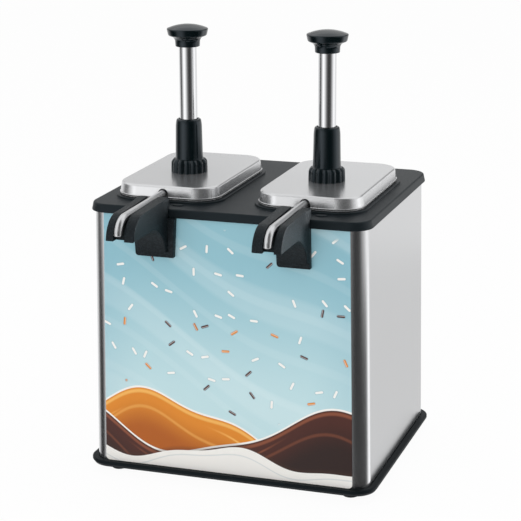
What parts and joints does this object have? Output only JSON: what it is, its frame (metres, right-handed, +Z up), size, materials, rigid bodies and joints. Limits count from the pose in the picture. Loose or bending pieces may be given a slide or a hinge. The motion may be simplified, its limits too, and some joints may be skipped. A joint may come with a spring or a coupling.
{
  "type": "topping warmer",
  "caption": "Countertop topping warmer: steel-wrapped housing with heated wells, lidded lift-out jars with push-down pumps, and spouts that hang over the front panel.",
  "frame": {"origin": "middle of the whole footprint, on the counter under the feet", "axes": "+X to the right as seen from the front, +Y to the back, +Z up"},
  "size_m": [0.372, 0.4208, 0.5525],
  "materials": {
    "stainless_brushed": "brushed stainless sheet, grain running round the wrap",
    "stainless_polished": "polished stainless",
    "stainless_satin": "satin drawn stainless",
    "plastic_black": "black moulded plastic, fine texture",
    "plastic_gloss_black": "black moulded plastic, semi-gloss",
    "panel_print": "printed sheet, satin",
    "rubber_black": "moulded rubber",
    "aluminium_drawn": "drawn aluminium",
    "silicone_orange": "silicone heater mat",
    "glass_fibre": "glass-fibre blanket",
    "silicone_clear": "food-grade silicone",
    "acetal_white": "white acetal",
    "zinc_plated": "zinc-plated steel",
    "phenolic_brown": "phenolic",
    "wire_sleeve": "glass-braid sleeve"
  },
  "bodies": {
    "housing": {"base_tray": "plastic_black", "feet": "rubber_black", "foot_screws": "zinc_plated", "shroud": "stainless_brushed", "back_panel": "stainless_brushed", "back_screws": "stainless_polished", "front_panel": "panel_print", "top_cover": "plastic_black", "cover_screws": "zinc_plated", "spout_screws": "zinc_plated", "rocker_bezel": "plastic_gloss_black", "cord_gland": "plastic_black", "terminal_block": "acetal_white", "high_limit": "zinc_plated", "wiring": "wire_sleeve", "spout_housing_left": "plastic_black", "well_left": "aluminium_drawn", "heater_left": "silicone_orange", "insulation_left": "glass_fibre", "thermostat_left": "phenolic_brown", "spout_housing_right": "plastic_black", "well_right": "aluminium_drawn", "heater_right": "silicone_orange", "insulation_right": "glass_fibre", "thermostat_right": "phenolic_brown"},
    "switch_rocker": {"rocker": "plastic_gloss_black"},
    "left_jar": {"jar_left": "stainless_satin"},
    "left_pump": {"lid_left": "stainless_satin", "lock_collar_left": "plastic_gloss_black", "pump_cylinder_left": "stainless_satin", "valve_body_left": "acetal_white", "intake_tube_left": "stainless_satin", "discharge_tube_left": "stainless_polished", "return_spring_left": "stainless_polished"},
    "left_plunger": {"knob_left": "plastic_gloss_black", "plunger_tube_left": "stainless_polished", "piston_left": "acetal_white", "piston_seal_left": "silicone_clear"},
    "left_inlet_ball": {"inlet_ball_left": "stainless_polished"},
    "left_outlet_ball": {"outlet_ball_left": "stainless_polished"},
    "right_jar": {"jar_right": "stainless_satin"},
    "right_pump": {"lid_right": "stainless_satin", "lock_collar_right": "plastic_gloss_black", "pump_cylinder_right": "stainless_satin", "valve_body_right": "acetal_white", "intake_tube_right": "stainless_satin", "discharge_tube_right": "stainless_polished", "return_spring_right": "stainless_polished"},
    "right_plunger": {"knob_right": "plastic_gloss_black", "plunger_tube_right": "stainless_polished", "piston_right": "acetal_white", "piston_seal_right": "silicone_clear"},
    "right_inlet_ball": {"inlet_ball_right": "stainless_polished"},
    "right_outlet_ball": {"outlet_ball_right": "stainless_polished"}
  },
  "joints": [
    {"name": "switch_press", "type": "hinge", "parent": "housing", "child": "switch_rocker", "pos_m": [0.078, 0.19865, 0.078], "axis": [1, 0, 0], "range_deg": [0, 18]},
    {"name": "left_jar_lift", "type": "slide", "parent": "housing", "child": "left_jar", "axis": [0, 0, 1], "range_m": [0, 0.24]},
    {"name": "left_pump_lift", "type": "slide", "parent": "left_jar", "child": "left_pump", "axis": [0, 0, 1], "range_m": [0, 0.235]},
    {"name": "left_plunger_press", "type": "slide", "parent": "left_pump", "child": "left_plunger", "axis": [0, 0, -1], "range_m": [0, 0.08], "stiffness_N_per_m": 200, "springref_m": -0.05, "deforming": ["return_spring_left"]},
    {"name": "left_inlet_ball_lift", "type": "slide", "parent": "left_pump", "child": "left_inlet_ball", "axis": [0, 0, 1], "range_m": [0, 0.004]},
    {"name": "left_outlet_ball_lift", "type": "slide", "parent": "left_pump", "child": "left_outlet_ball", "axis": [0, 0, 1], "range_m": [0, 0.003]},
    {"name": "right_jar_lift", "type": "slide", "parent": "housing", "child": "right_jar", "axis": [0, 0, 1], "range_m": [0, 0.24]},
    {"name": "right_pump_lift", "type": "slide", "parent": "right_jar", "child": "right_pump", "axis": [0, 0, 1], "range_m": [0, 0.235]},
    {"name": "right_plunger_press", "type": "slide", "parent": "right_pump", "child": "right_plunger", "axis": [0, 0, -1], "range_m": [0, 0.08], "stiffness_N_per_m": 200, "springref_m": -0.05, "deforming": ["return_spring_right"]},
    {"name": "right_inlet_ball_lift", "type": "slide", "parent": "right_pump", "child": "right_inlet_ball", "axis": [0, 0, 1], "range_m": [0, 0.004]},
    {"name": "right_outlet_ball_lift", "type": "slide", "parent": "right_pump", "child": "right_outlet_ball", "axis": [0, 0, 1], "range_m": [0, 0.003]}
  ]
}
